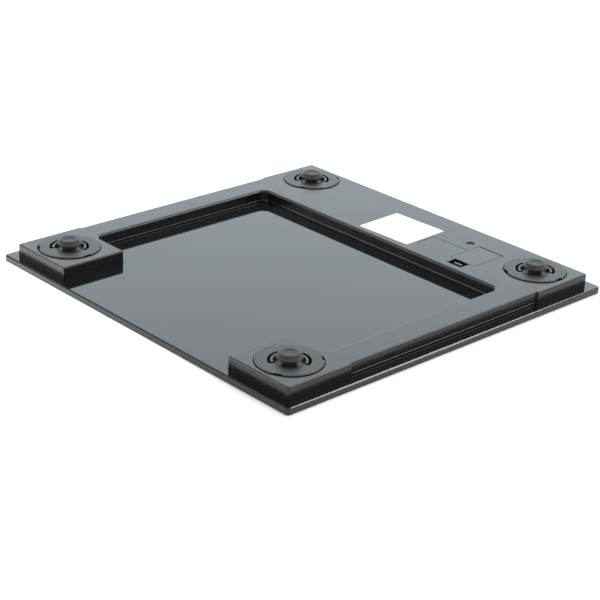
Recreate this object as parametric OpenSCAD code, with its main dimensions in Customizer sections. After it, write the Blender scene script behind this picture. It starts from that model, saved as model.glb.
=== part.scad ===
// Digital bathroom scale, lying upside down: the glass platform is underneath and the feet point up.
// The origin is the centre of the glass's outer face. +Z runs up to the feet, +Y to the display bar.
// Every size is in millimetres.

/* [Glass platform] */
// Width of the glass, along X
glass_w = 300; // [250:1:400]
// Depth of the glass, along Y
glass_d = 300; // [250:1:400]
// Thickness of the glass
glass_t = 5.1; // [4:0.1:10]
// Corner radius of the glass
glass_corner_r = 3; // [1:0.5:20]
// Width of the ground bevel round the glass
glass_arris = 0.7; // [0.2:0.1:1.5]
// Thickness of the print on the glass's inner face
print_t = 0.1; // [0.05:0.05:0.3]
// Bare margin between the print and the glass's edge
print_margin = 1; // [0.8:0.1:5]

/* [Housing] */
// Ledge of glass left bare beside the housing, along X
side_ledge = 7.7; // [2:0.1:15]
// Ledge of glass left bare beyond the housing's ends, along Y
end_ledge = 6.9; // [2:0.1:15]
// Height of the housing, from its tape to its top
housing_h = 8.35; // [7.5:0.05:14]
// Thickness of the walls and of the top skin
wall = 2; // [1.2:0.1:2.4]
// Thickness of the bond tape
tape_t = 0.5; // [0.2:0.1:1.5]
// Width of each side rail
rail_w = 21.9; // [18:0.1:34]
// Depth of the display bar
bar_d = 70.7; // [68:0.1:90]
// Width of each corner block at the open end
block_w = 55.4; // [51:0.1:70]
// Depth of each corner block at the open end
block_d = 51.8; // [50:0.1:70]
// Radius in the corners of the opening
opening_r = 6; // [2:0.5:12]
// Radius of the housing's outer corners
housing_corner_r = 2; // [0.5:0.5:6]
// How far the rails' outer faces stand back from the corner blocks
rail_recess = 1.5; // [0.5:0.1:3]
// Depth along Y of the corner blocks that stand proud of the rails' faces
proud_d = 53.6; // [51:0.1:70]
// Width and height of the foot flange along the rails and the bar
flange = 0.5; // [0.3:0.1:1.2]
// Thickness of the stiffening ribs
rib_t = 1.2; // [0.8:0.1:2]
// Spacing of the ribs along the rails
rib_pitch = 40; // [25:1:60]

/* [Feet] */
// Diameter of a foot disc
disc_d = 44.2; // [36:0.1:46]
// Height of a foot disc's face above the housing
disc_rise = 0.8; // [0.4:0.1:3]
// Thickness of a foot disc's plate
disc_t = 2.1; // [1.5:0.1:2.2]
// Thickness of a foot disc's skirt
skirt_t = 1.5; // [1.2:0.1:2]
// Radial gap round a foot disc
disc_gap = 0.3; // [0.2:0.05:0.6]
// Distance from a foot's axis to the housing's side, along X
foot_inset_x = 26.8; // [25.8:0.1:40]
// Distance from a foot's axis to the housing's end, along Y
foot_inset_y = 25.4; // [24:0.1:40]
// Free travel of a foot in its pocket
foot_travel = 0.6; // [0.2:0.1:0.8]
// Diameter of a rubber foot's cap at its lower edge
rubber_base_d = 17.4; // [14:0.1:19]
// Diameter of a rubber foot's cap at its top
rubber_top_d = 13.6; // [11:0.1:19]
// Height of the cap's lower edge above the disc's face
rubber_cap_rise = 2; // [0.5:0.1:2.4]
// Diameter of a rubber foot's neck, which stands in the well
rubber_neck_d = 10; // [8:0.5:13]
// Height of a rubber foot above its disc's face
rubber_h = 5.4; // [3:0.1:12]
// Diameter of the plug that holds a rubber foot in its disc
rubber_plug_d = 6; // [4:0.5:8]
// Gap in plan between a rubber foot's cap and the wall of its sunken well
well_gap = 1.6; // [1:0.1:2.4]
// Depth of the sunken well round a rubber foot
well_depth = 2.6; // [1.4:0.1:2.8]
// Middle radius of the curved slots in a foot disc
arc_slot_r = 13; // [12:0.1:15]
// Width of the curved slots in a foot disc
arc_slot_w = 1.8; // [1:0.1:3]
// Length of the curved slots in a foot disc, in degrees
arc_slot_deg = 76; // [30:1:100]

/* [Load cells] */
// Side of a load cell's square plate
cell_w = 30; // [24:0.5:30]
// Thickness of a load cell's plate
cell_t = 2; // [1.5:0.1:3]
// Side of a cell seat
seat_w = 33; // [32:0.5:34]
// Width of the ledge that carries the load cell's rim
seat_ledge = 3.5; // [2:0.5:4]

/* [Battery compartment] */
// Width of the battery door
door_w = 22.4; // [22:0.1:30]
// Length of the battery door
door_l = 31.4; // [30:0.1:40]
// Thickness of the battery door
door_t = 1.6; // [1.2:0.1:1.9]
// Gap round the battery door
door_gap = 0.25; // [0.15:0.05:0.5]
// Distance from the door's middle to the bar's far end, along Y
door_from_end = 39; // [38:0.1:44]
// Middle of the battery door, along X from the display's middle
door_x_offset = 72.9; // [72.5:0.1:90]
// Diameter of the door's hinge pins
pin_d = 1.4; // [1:0.1:1.8]
// Radial clearance of the hinge pins
pin_gap = 0.08; // [0.02:0.01:0.1]
// Width of the finger slot in front of the door
slot_w = 13; // [10:0.5:16]
// Length of the finger slot in front of the door
slot_l = 9; // [8.5:0.1:10]
// Width of the latch tongue
latch_w = 7; // [4:0.5:9]
// Travel of the latch tongue
latch_travel = 1.2; // [0.5:0.1:2]
// Diameter of the coin cell
coin_d = 20; // [16:1:20]
// Thickness of the coin cell
coin_t = 3.2; // [1.6:0.4:3.2]
// Thickness of the tray's walls
tray_wall = 1; // [0.8:0.1:1.2]

/* [Display and board] */
// Width of the display panel
lcd_w = 68; // [50:1:72]
// Depth of the display panel
lcd_d = 32; // [24:1:34]
// Thickness of each glass layer of the display panel
lcd_layer_t = 1; // [0.7:0.1:1.1]
// Width of the frame round the display panel
holder_rim = 5; // [4:0.5:6]
// Height of the display holder
holder_h = 2.9; // [2.6:0.1:3.2]
// Width of the main board
board_w = 99; // [90:1:110]
// Depth of the main board
board_d = 42; // [40:1:46]
// Thickness of the main board
board_t = 1; // [0.8:0.1:1.6]
// Distance from the display's middle to the bar's far end, along Y
display_from_end = 36; // [34:0.5:40]
// Shank diameter of the board screws
screw_d = 2; // [1.6:0.1:2.4]

/* [Unit button] */
// Diameter of the unit button
button_d = 5.8; // [4:0.1:7]
// Radial gap round the unit button
button_gap = 0.2; // [0.1:0.05:0.5]
// Depth of the button's face below the housing's face
button_sunk = 0.7; // [0:0.1:1.2]
// Travel of the unit button
button_travel = 0.4; // [0.2:0.05:0.5]
// Distance from the button to the bar's far end, along Y
button_from_end = 24.4; // [22:0.1:30]

/* [Label] */
// Width of the label
label_w = 47.2; // [20:0.1:60]
// Depth of the label
label_d = 41.5; // [20:0.1:50]
// Thickness of the label
label_t = 0.12; // [0.05:0.01:0.3]
// Turn of the label from square, in degrees
label_turn = 1.9; // [-5:0.1:5]

/* [Hidden] */
// Fineness of round shapes
$fn = 64;
// Small overlap of a cut past the face that it opens
eps = 0.1;

// Levels, from the surface up
z_print = glass_t;
z_tape = z_print + print_t;
z_base = z_tape + tape_t;
z_top = z_base + housing_h;
z_skin = z_top - wall;
z_wire = z_tape + 1.1;

// Plan of the housing
hx = glass_w / 2 - side_ledge;
hy = glass_d / 2 - end_ledge;
open_x = hx - rail_w;
open_y0 = -hy + block_d;
open_y1 = hy - bar_d;
gate_x = hx - block_w;

// Feet
foot_x = hx - foot_inset_x;
foot_y = hy - foot_inset_y;
pocket_r = disc_d / 2 + disc_gap;
collar_r = pocket_r + 1.6;
z_disc = z_top + disc_rise;
z_skirt = max(z_disc - 5, z_tape + 2.1 + cell_t);
z_cell = z_skirt - 0.1 - cell_t;
notch_w = 6;
notch_in_r = disc_d / 2 - 0.9;
ear_top = z_skirt + 1;
catch_h = 1.2;
well_r = rubber_base_d / 2 + well_gap;
cup_wall = 1.4;
cup_floor = 1.2;
hook_depth = 1.2;
boss_r = 5.5;

// Battery compartment
tray_half_w = door_w / 2 + door_gap + 3.5;
tray_right_limit = foot_x - collar_r - 1;
group_shift = min(0, tray_right_limit - (door_x_offset + tray_half_w));
door_x = door_x_offset + group_shift;
door_y = hy - door_from_end;
door_y0 = door_y - door_l / 2;
door_y1 = door_y + door_l / 2;
barrel_r = 1.3;
hinge_y = door_y1 - barrel_r;
hinge_z = z_top - barrel_r;
pin_len = 1.5;
ear_t = 2;
slot_y0 = door_y0 - door_gap - slot_l;
tray_y0 = slot_y0 - tray_wall;
tray_y1 = door_y1 + 3.2;
tray_floor = 0.8;
z_tray = z_tape + 0.3;
z_floor = z_tray + tray_floor;
coin_y = door_y - 2.4;
z_coin = z_floor + 1.3;
ledge_in = coin_d / 2 + 0.2;
arm_t = 1;
tongue_y = slot_y0 + 4.3;
z_hook = z_floor + 1.2;

// Display and board
display_x = group_shift;
display_y = hy - display_from_end;
z_board = z_tape + holder_h;
z_parts = z_board + board_t;
board_x1 = door_x - tray_half_w - 2;
board_x0 = board_x1 - board_w;
board_y0 = display_y - board_d / 2;
holder_w = lcd_w + 2 * holder_rim;
holder_d = lcd_d + 2 * holder_rim;
contact_ledge = 3;
window_w = lcd_w - 4;
window_d = lcd_d - 6;
screw_inset = 2.5;

// Unit button
button_x = board_x1 - 2.4;
button_y = hy - button_from_end;
flange_t = 0.7;
z_flange = z_skin - 0.1 - flange_t;
switch_w = 4.5;
switch_h = z_flange - 0.1 - button_travel - z_parts;
plunger_d = 2;

// Label
label_x = 2.2 + group_shift;
label_y = hy - 43.7;

// Wires
wire_d = 1;
wire_pitch = 1.2;
rail_mid = hx - rail_recess - wall - (rail_w - rail_recess - 2 * wall) / 2;
pad_in = 4;
pad_from_edge = 14;

// ---------- shared shapes ----------

// Rectangle from corner (x0, y0) to corner (x1, y1)
module rect(x0, y0, x1, y1) {
    translate([x0, y0]) square([x1 - x0, y1 - y0]);
}

// Rectangle with round corners, about its middle
module round_rect(w, d, r) {
    square([w - 2 * r, d], center = true);
    square([w, d - 2 * r], center = true);
    for (sx = [-1, 1], sy = [-1, 1])
        translate([sx * (w / 2 - r), sy * (d / 2 - r)]) circle(r);
}

// Box from corner a to corner b
module box(a, b) {
    translate(a) cube(b - a);
}

// Ring from radius r0 to radius r1, height h
module ring(r0, r1, h) {
    difference() {
        cylinder(r = r1, h = h);
        translate([0, 0, -eps]) cylinder(r = r0, h = h + 2 * eps);
    }
}

// Unit vector from point a to point b
function way(a, b) = (b - a) / norm(b - a);

// Unit vector to the left of the way from a to b, in plan
function left_of(a, b) = let (v = way([a.x, a.y], [b.x, b.y])) [-v.y, v.x];

// The route moved sideways in plan by k, with mitred corners
function beside(route, k) =
    [for (i = [0 : len(route) - 1])
        let (last = len(route) - 1,
             a = left_of(route[max(i - 1, 0)], route[max(i, 1)]),
             b = left_of(route[min(i, last - 1)], route[min(i + 1, last)]),
             m = (a + b) / (1 + a * b))
        route[i] + k * [m.x, m.y, 0]];

// Points of a tube's ring at point i of its route, in the plane that halves the bend there
function tube_ring(route, i, r, sides) =
    let (last = len(route) - 1,
         d = way(route[max(i - 1, 0)], route[max(i, 1)]),
         e = way(route[min(i, last - 1)], route[min(i + 1, last)]),
         halfway = (d + e) / norm(d + e),
         u = cross([0, 0, 1], d) / norm(cross([0, 0, 1], d)),
         w = cross(d, u))
    [for (k = [0 : sides - 1])
        let (q = r * (cos(360 * k / sides) * u + sin(360 * k / sides) * w))
        route[i] + q - d * (q * halfway) / (d * halfway)];

// One wire of diameter d along a route that is never vertical
module wire(route, d) {
    sides = 8;
    rings = len(route);
    polyhedron(
        points = [for (i = [0 : rings - 1]) each tube_ring(route, i, d / 2, sides)],
        faces = concat(
            [[for (k = [0 : sides - 1]) k]],
            [[for (k = [sides - 1 : -1 : 0]) (rings - 1) * sides + k]],
            [for (i = [0 : rings - 2], k = [0 : sides - 1], half = [0, 1])
                let (n = (k + 1) % sides, a = i * sides, b = a + sides)
                half == 0 ? [a + k, b + k, b + n] : [a + k, b + n, a + n]]
        )
    );
}

// ---------- glass platform ----------

module glass_platform() {
    color("#101214") {
        linear_extrude_bevelled(glass_w, glass_d, glass_corner_r, glass_t, glass_arris);
    }
}

// Rounded plate with a bevel c on both edges
module linear_extrude_bevelled(w, d, r, t, c) {
    difference() {
        linear_extrude(t) round_rect(w, d, r);
        for (side = [0, 1]) translate([0, 0, side * t]) mirror([0, 0, side]) bevel_cut(w, d, r, c);
    }
}

// Material taken off one edge of a rounded plate: four straight prisms and four corner cones
module bevel_cut(w, d, r, c) {
    for (turn = [0, 90, 180, 270]) {
        half = turn % 180 == 0 ? d / 2 : w / 2;
        run = turn % 180 == 0 ? w - 2 * r : d - 2 * r;
        rotate([0, 0, turn]) translate([-run / 2, -half, 0]) rotate([90, 0, 90])
            linear_extrude(run) polygon([[-eps, -eps], [c + eps, -eps], [-eps, c + eps]]);
    }
    for (sx = [-1, 1], sy = [-1, 1])
        translate([sx * (w / 2 - r), sy * (d / 2 - r), 0])
            difference() {
                translate([sx > 0 ? 0 : -r - 1, sy > 0 ? 0 : -r - 1, -eps]) cube([r + 1, r + 1, c + eps]);
                cylinder(r1 = r - c, r2 = r, h = c);
                translate([0, 0, -2 * eps]) cylinder(r = r - c, h = c);
            }
}

module back_print() {
    color("#16181a") translate([0, 0, z_print]) linear_extrude(print_t) difference() {
        round_rect(glass_w - 2 * print_margin, glass_d - 2 * print_margin, glass_corner_r);
        translate([display_x, display_y]) round_rect(window_w, window_d, 2);
    }
}

// ---------- housing ----------

// Clear area between the rails, with its outline moved out by g
module opening_plan(g = 0) {
    translate([0, (open_y0 + open_y1) / 2])
        round_rect(2 * (open_x + g), open_y1 - open_y0 + 2 * g, opening_r + g);
    rect(-gate_x - g, -hy - 1, gate_x + g, open_y0 + opening_r);
}

// Outer outline of the housing, with its outline moved in by g
module outer_plan(g = 0) {
    difference() {
        round_rect(2 * (hx - g), 2 * (hy - g), max(housing_corner_r - g, 0.2));
        for (s = [-1, 1])
            rect(s > 0 ? hx - rail_recess - g : -hx - 1, -hy + proud_d - g,
                 s > 0 ? hx + 1 : -hx + rail_recess + g, hy - proud_d + g);
    }
}

module housing_plan() {
    difference() {
        outer_plan();
        opening_plan();
    }
}

module cavity_plan() {
    difference() {
        outer_plan(wall);
        opening_plan(wall);
    }
}

// Foot flange: a low strip outside the rails, and inside the rails and the bar
module flange_plan() {
    for (s = [-1, 1])
        rect(s > 0 ? hx - rail_recess - eps : -hx + rail_recess - flange, -hy + proud_d - eps,
             s > 0 ? hx - rail_recess + flange : -hx + rail_recess + eps, hy - proud_d + eps);
    difference() {
        translate([0, (open_y0 + open_y1) / 2])
            round_rect(2 * open_x + eps, open_y1 - open_y0 + eps, opening_r);
        translate([0, (open_y0 + open_y1 - flange) / 2 - eps])
            round_rect(2 * (open_x - flange), open_y1 - open_y0 - flange + 2 * eps, opening_r - flange);
        rect(-gate_x, open_y0 - 1, gate_x, open_y0 + opening_r);
    }
}

// Places its children at all four feet
module at_feet() {
    for (sx = [-1, 1], sy = [-1, 1]) translate([sx * foot_x, sy * foot_y, 0]) children();
}

// Turn of a corner's rim notches
function notch_turn(sx, sy) = sx > 0 && sy < 0 ? 58 : sx < 0 && sy > 0 ? 58 : 0;

// Three small catches in a pocket's wall, which keep the foot disc in
module catches(turn) {
    for (k = [0, 120, 240]) rotate([0, 0, turn + k])
        box([notch_in_r + 0.2, -notch_w / 2 + 0.3, ear_top + foot_travel],
            [pocket_r + 0.8, notch_w / 2 - 0.3, ear_top + foot_travel + catch_h]);
}

module rail_ribs() {
    count = floor((open_y1 - open_y0 - 20) / rib_pitch);
    for (s = [-1, 1], i = [0 : count])
        let (y = (open_y0 + open_y1) / 2 + (i - count / 2) * rib_pitch)
            box([s * rail_mid - (rail_w - rail_recess - 2 * wall) / 2 - 0.2, y - rib_t / 2, z_wire + 1.2],
                [s * rail_mid + (rail_w - rail_recess - 2 * wall) / 2 + 0.2, y + rib_t / 2, z_skin + 0.2]);
}

// Ears that carry the door's pins, and ledges that carry the closed door's edges
module door_supports() {
    for (s = [-1, 1]) {
        edge = door_w / 2 + door_gap;
        x0 = door_x + (s > 0 ? edge : -edge - ear_t);
        box([x0, hinge_y - 2.2, hinge_z - 2.2], [x0 + ear_t, hinge_y + 2.2, z_skin + 0.2]);
        ledge_x = door_x + (s > 0 ? ledge_in : -edge - 1.2);
        box([ledge_x, door_y0 + 3, z_skin - 1],
            [ledge_x + edge + 1.2 - ledge_in, hinge_y - 4.5, z_top - door_t - 0.05]);
    }
}

// Door opening, finger slot and pin bores
module door_cuts() {
    box([door_x - door_w / 2 - door_gap, door_y0 - door_gap, z_top - door_t - 0.05],
        [door_x + door_w / 2 + door_gap, door_y1 + door_gap, z_top + eps]);
    box([door_x - ledge_in, door_y0 - door_gap, z_skin - eps],
        [door_x + ledge_in, door_y1 + door_gap, z_top]);
    box([door_x - door_w / 2 - door_gap, hinge_y - 4, z_skin - eps],
        [door_x + door_w / 2 + door_gap, door_y1 + door_gap, z_top]);
    box([door_x - slot_w / 2, slot_y0, z_skin - eps], [door_x + slot_w / 2, door_y0, z_top + eps]);
    translate([door_x - door_w / 2 - ear_t, hinge_y, hinge_z]) rotate([0, 90, 0])
        cylinder(r = pin_d / 2 + pin_gap, h = door_w + 2 * ear_t, $fn = 32);
}

// Shallow parting lines beside the door
module seams() {
    seam = 0.4;
    left_x = label_x + label_w / 2 + 2.5;
    right_x = door_x - door_w / 2 - 0.3;
    seam_y = door_y + 3;
    box([label_x + label_w / 2 + 0.8, seam_y, z_top - 0.3], [right_x, seam_y + seam, z_top + eps]);
    box([left_x, door_y0, z_top - 0.3], [left_x + seam, seam_y, z_top + eps]);
}

module base_housing() {
    color("#1b1d1f") {
        difference() {
            union() {
                difference() {
                    translate([0, 0, z_base]) linear_extrude(housing_h) housing_plan();
                    translate([0, 0, z_base - eps]) linear_extrude(housing_h - wall + eps) cavity_plan();
                }
                translate([0, 0, z_base]) linear_extrude(flange) flange_plan();
                at_feet() translate([0, 0, z_skirt]) ring(pocket_r, collar_r, z_skin - z_skirt + 0.2);
                rail_ribs();
                door_supports();
            }
            at_feet() translate([0, 0, z_wire]) cylinder(r = pocket_r, h = z_top - z_wire + eps);
            door_cuts();
            seams();
            translate([button_x, button_y, z_skin - eps])
                cylinder(r = button_d / 2 + button_gap, h = wall + 2 * eps);
        }
        for (sx = [-1, 1], sy = [-1, 1])
            translate([sx * foot_x, sy * foot_y, 0]) catches(notch_turn(sx, sy));
    }
}

module bond_tape() {
    color("#141414") translate([0, 0, z_tape]) linear_extrude(tape_t) difference() {
        housing_plan();
        cavity_plan();
    }
}

module rating_label() {
    color("#ffffff") translate([label_x, label_y, z_top]) rotate([0, 0, label_turn])
        linear_extrude(label_t) round_rect(label_w, label_d, 1);
}

// ---------- battery compartment ----------

module battery_door() {
    color("#1b1d1f") {
        box([door_x - door_w / 2, door_y0, z_top - door_t], [door_x + door_w / 2, hinge_y, z_top]);
        translate([door_x - door_w / 2, hinge_y, hinge_z]) rotate([0, 90, 0])
            cylinder(r = barrel_r, h = door_w);
        translate([door_x - door_w / 2 - pin_len, hinge_y, hinge_z]) rotate([0, 90, 0])
            cylinder(d = pin_d, h = door_w + 2 * pin_len, $fn = 32);
        // fixed arm and bend of the latch spring
        box([door_x - latch_w / 2, door_y0, z_hook],
            [door_x + latch_w / 2, door_y0 + arm_t, z_top - door_t + 0.2]);
        box([door_x - latch_w / 2, tongue_y + 0.2, z_hook - 0.9],
            [door_x + latch_w / 2, door_y0 + arm_t, z_hook + 0.1]);
    }
}

module door_latch() {
    color("#26282a") translate([door_x - latch_w / 2, 0, 0]) rotate([90, 0, 90])
        linear_extrude(latch_w) polygon([
            [tongue_y, z_hook + 0.15], [tongue_y + arm_t, z_hook + 0.15],
            [tongue_y + arm_t, z_top - 1.6], [tongue_y + 1.6, z_top - 1.2], [tongue_y + 1.6, z_top - 0.6],
            [tongue_y - 0.4, z_top - 0.6], [tongue_y - 0.4, z_top - 1.6], [tongue_y, z_top - 2.1],
            [slot_y0 + 0.4, z_skin - 0.3], [slot_y0 + 0.4, z_skin - 0.7], [tongue_y, z_skin - 1.5]
        ]);
}

module battery_tray() {
    color("#2a2c2e") difference() {
        box([door_x - tray_half_w, tray_y0, z_tray], [door_x + tray_half_w, tray_y1, z_skin]);
        box([door_x - tray_half_w + tray_wall, tray_y0 + tray_wall, z_floor],
            [door_x + tray_half_w - tray_wall, tray_y1 - tray_wall, z_skin + eps]);
        // gap for the battery wires
        box([door_x - tray_half_w - eps, coin_y - 4, z_floor],
            [door_x - tray_half_w + tray_wall + eps, coin_y + 4, z_floor + 2.2]);
    }
}

module coin_cell() {
    rim = 0.8;
    color("#c9ccd0") translate([door_x, coin_y, z_coin]) {
        cylinder(d = coin_d - 2 * rim, h = rim);
        translate([0, 0, rim]) cylinder(d = coin_d, h = coin_t - rim);
    }
}

module contact_negative() {
    strip_w = 4;
    color("#d4b06a") {
        box([door_x - tray_half_w + tray_wall + 0.2, coin_y - strip_w / 2, z_floor],
            [door_x + 7, coin_y + strip_w / 2, z_floor + 0.3]);
        translate([door_x, coin_y, z_floor]) cylinder(d = 6, h = z_coin - z_floor);
    }
}

module contact_positive() {
    strip_w = 8;
    y0 = coin_y + coin_d / 2;
    color("#d4b06a") {
        box([door_x - strip_w / 2, y0, z_floor], [door_x + strip_w / 2, y0 + 0.4, z_coin + 2.6]);
        box([door_x - strip_w / 2, y0, z_floor], [door_x + strip_w / 2, y0 + 3, z_floor + 0.3]);
    }
}

// ---------- unit button and switch ----------

module unit_button() {
    color("#141516") translate([button_x, button_y, 0]) {
        translate([0, 0, z_flange]) cylinder(d = button_d + 1.8, h = flange_t);
        translate([0, 0, z_flange]) cylinder(d = button_d, h = z_top - button_sunk - z_flange);
    }
}

module switch_plunger() {
    color("#101010") translate([button_x, button_y, z_parts + 0.1 + button_travel])
        cylinder(d = plunger_d, h = z_flange - z_parts - 0.1 - button_travel, $fn = 32);
}

module switch_body() {
    color("#b9bcc0") translate([button_x, button_y, z_parts]) difference() {
        translate([-switch_w / 2, -switch_w / 2, 0]) cube([switch_w, switch_w, switch_h]);
        translate([0, 0, 0.1]) cylinder(r = plunger_d / 2 + 0.08, h = switch_h, $fn = 32);
    }
}

// ---------- display and board ----------

module display_panel() {
    color("#9fb09a") translate([display_x, display_y, z_tape]) {
        box([-lcd_w / 2, -lcd_d / 2, 0], [lcd_w / 2, lcd_d / 2, lcd_layer_t]);
        box([-lcd_w / 2, -lcd_d / 2 + contact_ledge, lcd_layer_t], [lcd_w / 2, lcd_d / 2, 2 * lcd_layer_t]);
    }
}

module display_holder() {
    color("#e4e4e0") translate([display_x, display_y, z_tape]) difference() {
        box([-holder_w / 2, -holder_d / 2, 0], [holder_w / 2, holder_d / 2, holder_h]);
        box([-lcd_w / 2, -lcd_d / 2, -eps], [lcd_w / 2, lcd_d / 2, holder_h + eps]);
        for (sx = [-1, 1], sy = [-1, 1])
            translate([sx * (holder_w / 2 - screw_inset), sy * (board_d / 2 - screw_inset), 0.5])
                cylinder(d = screw_d, h = holder_h, $fn = 32);
    }
}

module connector_strip() {
    color("#5b6068") translate([display_x, display_y - lcd_d / 2, z_tape])
        box([-lcd_w / 2 + 2, 0.4, lcd_layer_t], [lcd_w / 2 - 2, contact_ledge - 0.4, holder_h]);
}

module main_board() {
    color("#1f6b3a") difference() {
        box([board_x0, board_y0, z_board], [board_x1, board_y0 + board_d, z_parts]);
        for (sx = [-1, 1], sy = [-1, 1])
            translate([display_x + sx * (holder_w / 2 - screw_inset),
                       display_y + sy * (board_d / 2 - screw_inset), z_board - eps])
                cylinder(r = screw_d / 2 + 0.1, h = board_t + 2 * eps, $fn = 32);
    }
}

module board_screws() {
    head_r = 1.9;
    head_h = 1;
    color("#c8ccd2") for (sx = [-1, 1], sy = [-1, 1])
        translate([display_x + sx * (holder_w / 2 - screw_inset),
                   display_y + sy * (board_d / 2 - screw_inset), 0]) {
            translate([0, 0, z_tape + 0.5]) cylinder(d = screw_d, h = z_parts - z_tape - 0.5, $fn = 32);
            difference() {
                translate([0, 0, z_parts]) cylinder(r = head_r, h = head_h, $fn = 32);
                for (turn = [0, 90]) rotate([0, 0, turn])
                    box([-1.2, -0.25, z_parts + head_h - 0.5], [1.2, 0.25, z_parts + head_h + eps]);
            }
        }
}

module controller_blob() {
    color("#0d0d0e") translate([display_x - 12, display_y + 4, z_parts]) {
        cylinder(r = 6, h = 0.7);
        translate([0, 0, 0.7]) cylinder(r1 = 6, r2 = 4, h = 0.5);
    }
}

module board_parts() {
    color("#b58a4a") {
        for (i = [0 : 5]) translate([display_x + 4 + 4 * i, display_y + 8, z_parts]) cube([2, 1.2, 0.8]);
        for (i = [0 : 3]) translate([display_x + 6 + 5 * i, display_y - 6, z_parts]) cube([1.2, 2, 0.8]);
        translate([display_x + 22, display_y, z_parts]) cube([6, 4, 1.2]);
    }
}

// Two leads from the battery contacts, up between tray and board, to the board
module battery_wires() {
    x_tray = door_x - tray_half_w;
    color("#b3261e") for (s = [-1, 1]) let (y = coin_y + s * 1.4)
        wire([[x_tray + 2.4, y, z_floor + 0.9], [x_tray - 0.6, y, z_floor + 0.9],
              [x_tray - 1.4, y, z_parts + 0.6], [board_x1 - pad_in, y, z_parts + 0.6]], wire_d);
}

// ---------- load cells ----------

// Moves its children to corner (sx, sy), turned so that local +Y is the way the wires leave
module at_corner(sx, sy) {
    turn = sy < 0 ? 0 : sx < 0 ? -90 : 90;
    translate([sx * foot_x, sy * foot_y, 0]) rotate([0, 0, turn]) children();
}

module cell_seat(sx, sy) {
    color("#d9d9d4") at_corner(sx, sy) difference() {
        translate([0, 0, z_tape]) linear_extrude(z_cell - z_tape + 0.9) round_rect(seat_w, seat_w, 5);
        translate([0, 0, z_cell]) linear_extrude(1 + eps) round_rect(cell_w + 0.4, cell_w + 0.4, 4);
        translate([0, 0, z_tape - eps]) linear_extrude(5)
            round_rect(cell_w - 2 * seat_ledge, cell_w - 2 * seat_ledge, 2);
        // gap for the three wires
        box([-3.5, 0, z_tape + 0.4], [3.5, seat_w, z_cell + 1]);
    }
}

module load_cell(sx, sy) {
    slot = 1.6;
    tongue = 11;
    inner = cell_w - 10;
    color("#b8bcc2") at_corner(sx, sy) translate([0, 0, z_cell]) linear_extrude(cell_t) difference() {
        round_rect(cell_w, cell_w, 4);
        for (s = [-1, 1]) {
            translate([s * (tongue / 2 + slot / 2), 0]) square([slot, inner], center = true);
            for (e = [-1, 1]) translate([s * (tongue / 2 + slot / 2), e * inner / 2]) circle(d = slot);
        }
        translate([0, -inner / 2]) square([tongue + 2 * slot, slot], center = true);
    }
}

module strain_gauge(sx, sy) {
    color("#e0a23a") at_corner(sx, sy) translate([-4, 4.6, z_cell - 0.3]) cube([8, 4.4, 0.3]);
}

// ---------- feet ----------

// Curved slot of middle radius r and width w, which reaches half its width past the angles a0 and a1
module arc_slot(r, w, a0, a1, h) {
    past = asin(w / 2 / r);
    rotate([0, 0, a0 - past]) rotate_extrude(angle = a1 - a0 + 2 * past)
        translate([r - w / 2, 0]) square([w, h]);
}

module foot_disc(sx, sy) {
    r = disc_d / 2;
    color("#2b2d2f") translate([sx * foot_x, sy * foot_y, 0]) difference() {
        union() {
            difference() {
                translate([0, 0, z_skirt]) cylinder(r = r, h = z_disc - z_skirt);
                translate([0, 0, z_skirt - eps])
                    cylinder(r = r - skirt_t, h = z_disc - disc_t - z_skirt + eps);
            }
            translate([0, 0, z_cell + cell_t])
                cylinder(r = boss_r, h = z_disc - disc_t - z_cell - cell_t + 0.2);
            // cup that forms the well's floor and wall
            translate([0, 0, z_disc - well_depth - cup_floor])
                cylinder(r = well_r + cup_wall, h = well_depth + cup_floor - eps);
        }
        // sunken well round the rubber foot, and the hole for its plug
        translate([0, 0, z_disc - well_depth]) cylinder(r = well_r, h = well_depth + eps);
        translate([0, 0, z_cell + cell_t + 0.8]) cylinder(d = rubber_plug_d, h = z_disc);
        for (a = [59, 213]) {
            translate([0, 0, z_disc - disc_t - eps])
                arc_slot(arc_slot_r, arc_slot_w, a - arc_slot_deg / 2, a + arc_slot_deg / 2, disc_t + 2 * eps);
            // channels that join the slot's two ends to the well
            for (e = [-1, 1]) rotate([0, 0, a + e * arc_slot_deg / 2])
                box([well_r - 0.5, 0.1 - arc_slot_w / 2, z_disc - hook_depth],
                    [arc_slot_r - 0.1, arc_slot_w / 2 - 0.1, z_disc + eps]);
        }
        for (k = [0, 120, 240]) rotate([0, 0, notch_turn(sx, sy) + k])
            box([notch_in_r, -notch_w / 2, ear_top], [r + 1, notch_w / 2, z_disc + eps]);
    }
}

module rubber_foot(sx, sy) {
    dish_r = rubber_top_d / 2 - 2.2;
    z0 = z_disc - well_depth;
    z_cap = z_disc + rubber_cap_rise;
    color("#3a3c3e") translate([sx * foot_x, sy * foot_y, 0]) difference() {
        union() {
            translate([0, 0, z0]) cylinder(d = rubber_neck_d, h = well_depth + rubber_cap_rise + 0.2);
            translate([0, 0, z_cap]) cylinder(d = rubber_base_d, h = 0.6);
            translate([0, 0, z_cap + 0.6])
                cylinder(d1 = rubber_base_d, d2 = rubber_top_d, h = rubber_h - rubber_cap_rise - 0.6);
            translate([0, 0, z_cell + cell_t + 0.8]) cylinder(d = rubber_plug_d, h = z0 - z_cell - cell_t);
        }
        translate([0, 0, z_disc + rubber_h - 0.5]) cylinder(r1 = dish_r - 1, r2 = dish_r, h = 0.5 + eps);
    }
}

// ---------- signal wires ----------

// Three wires side by side along a route
module wire_set(route) {
    color("#c23a2e") for (i = [-1 : 1]) wire(beside(route, i * wire_pitch), wire_d);
}

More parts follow.
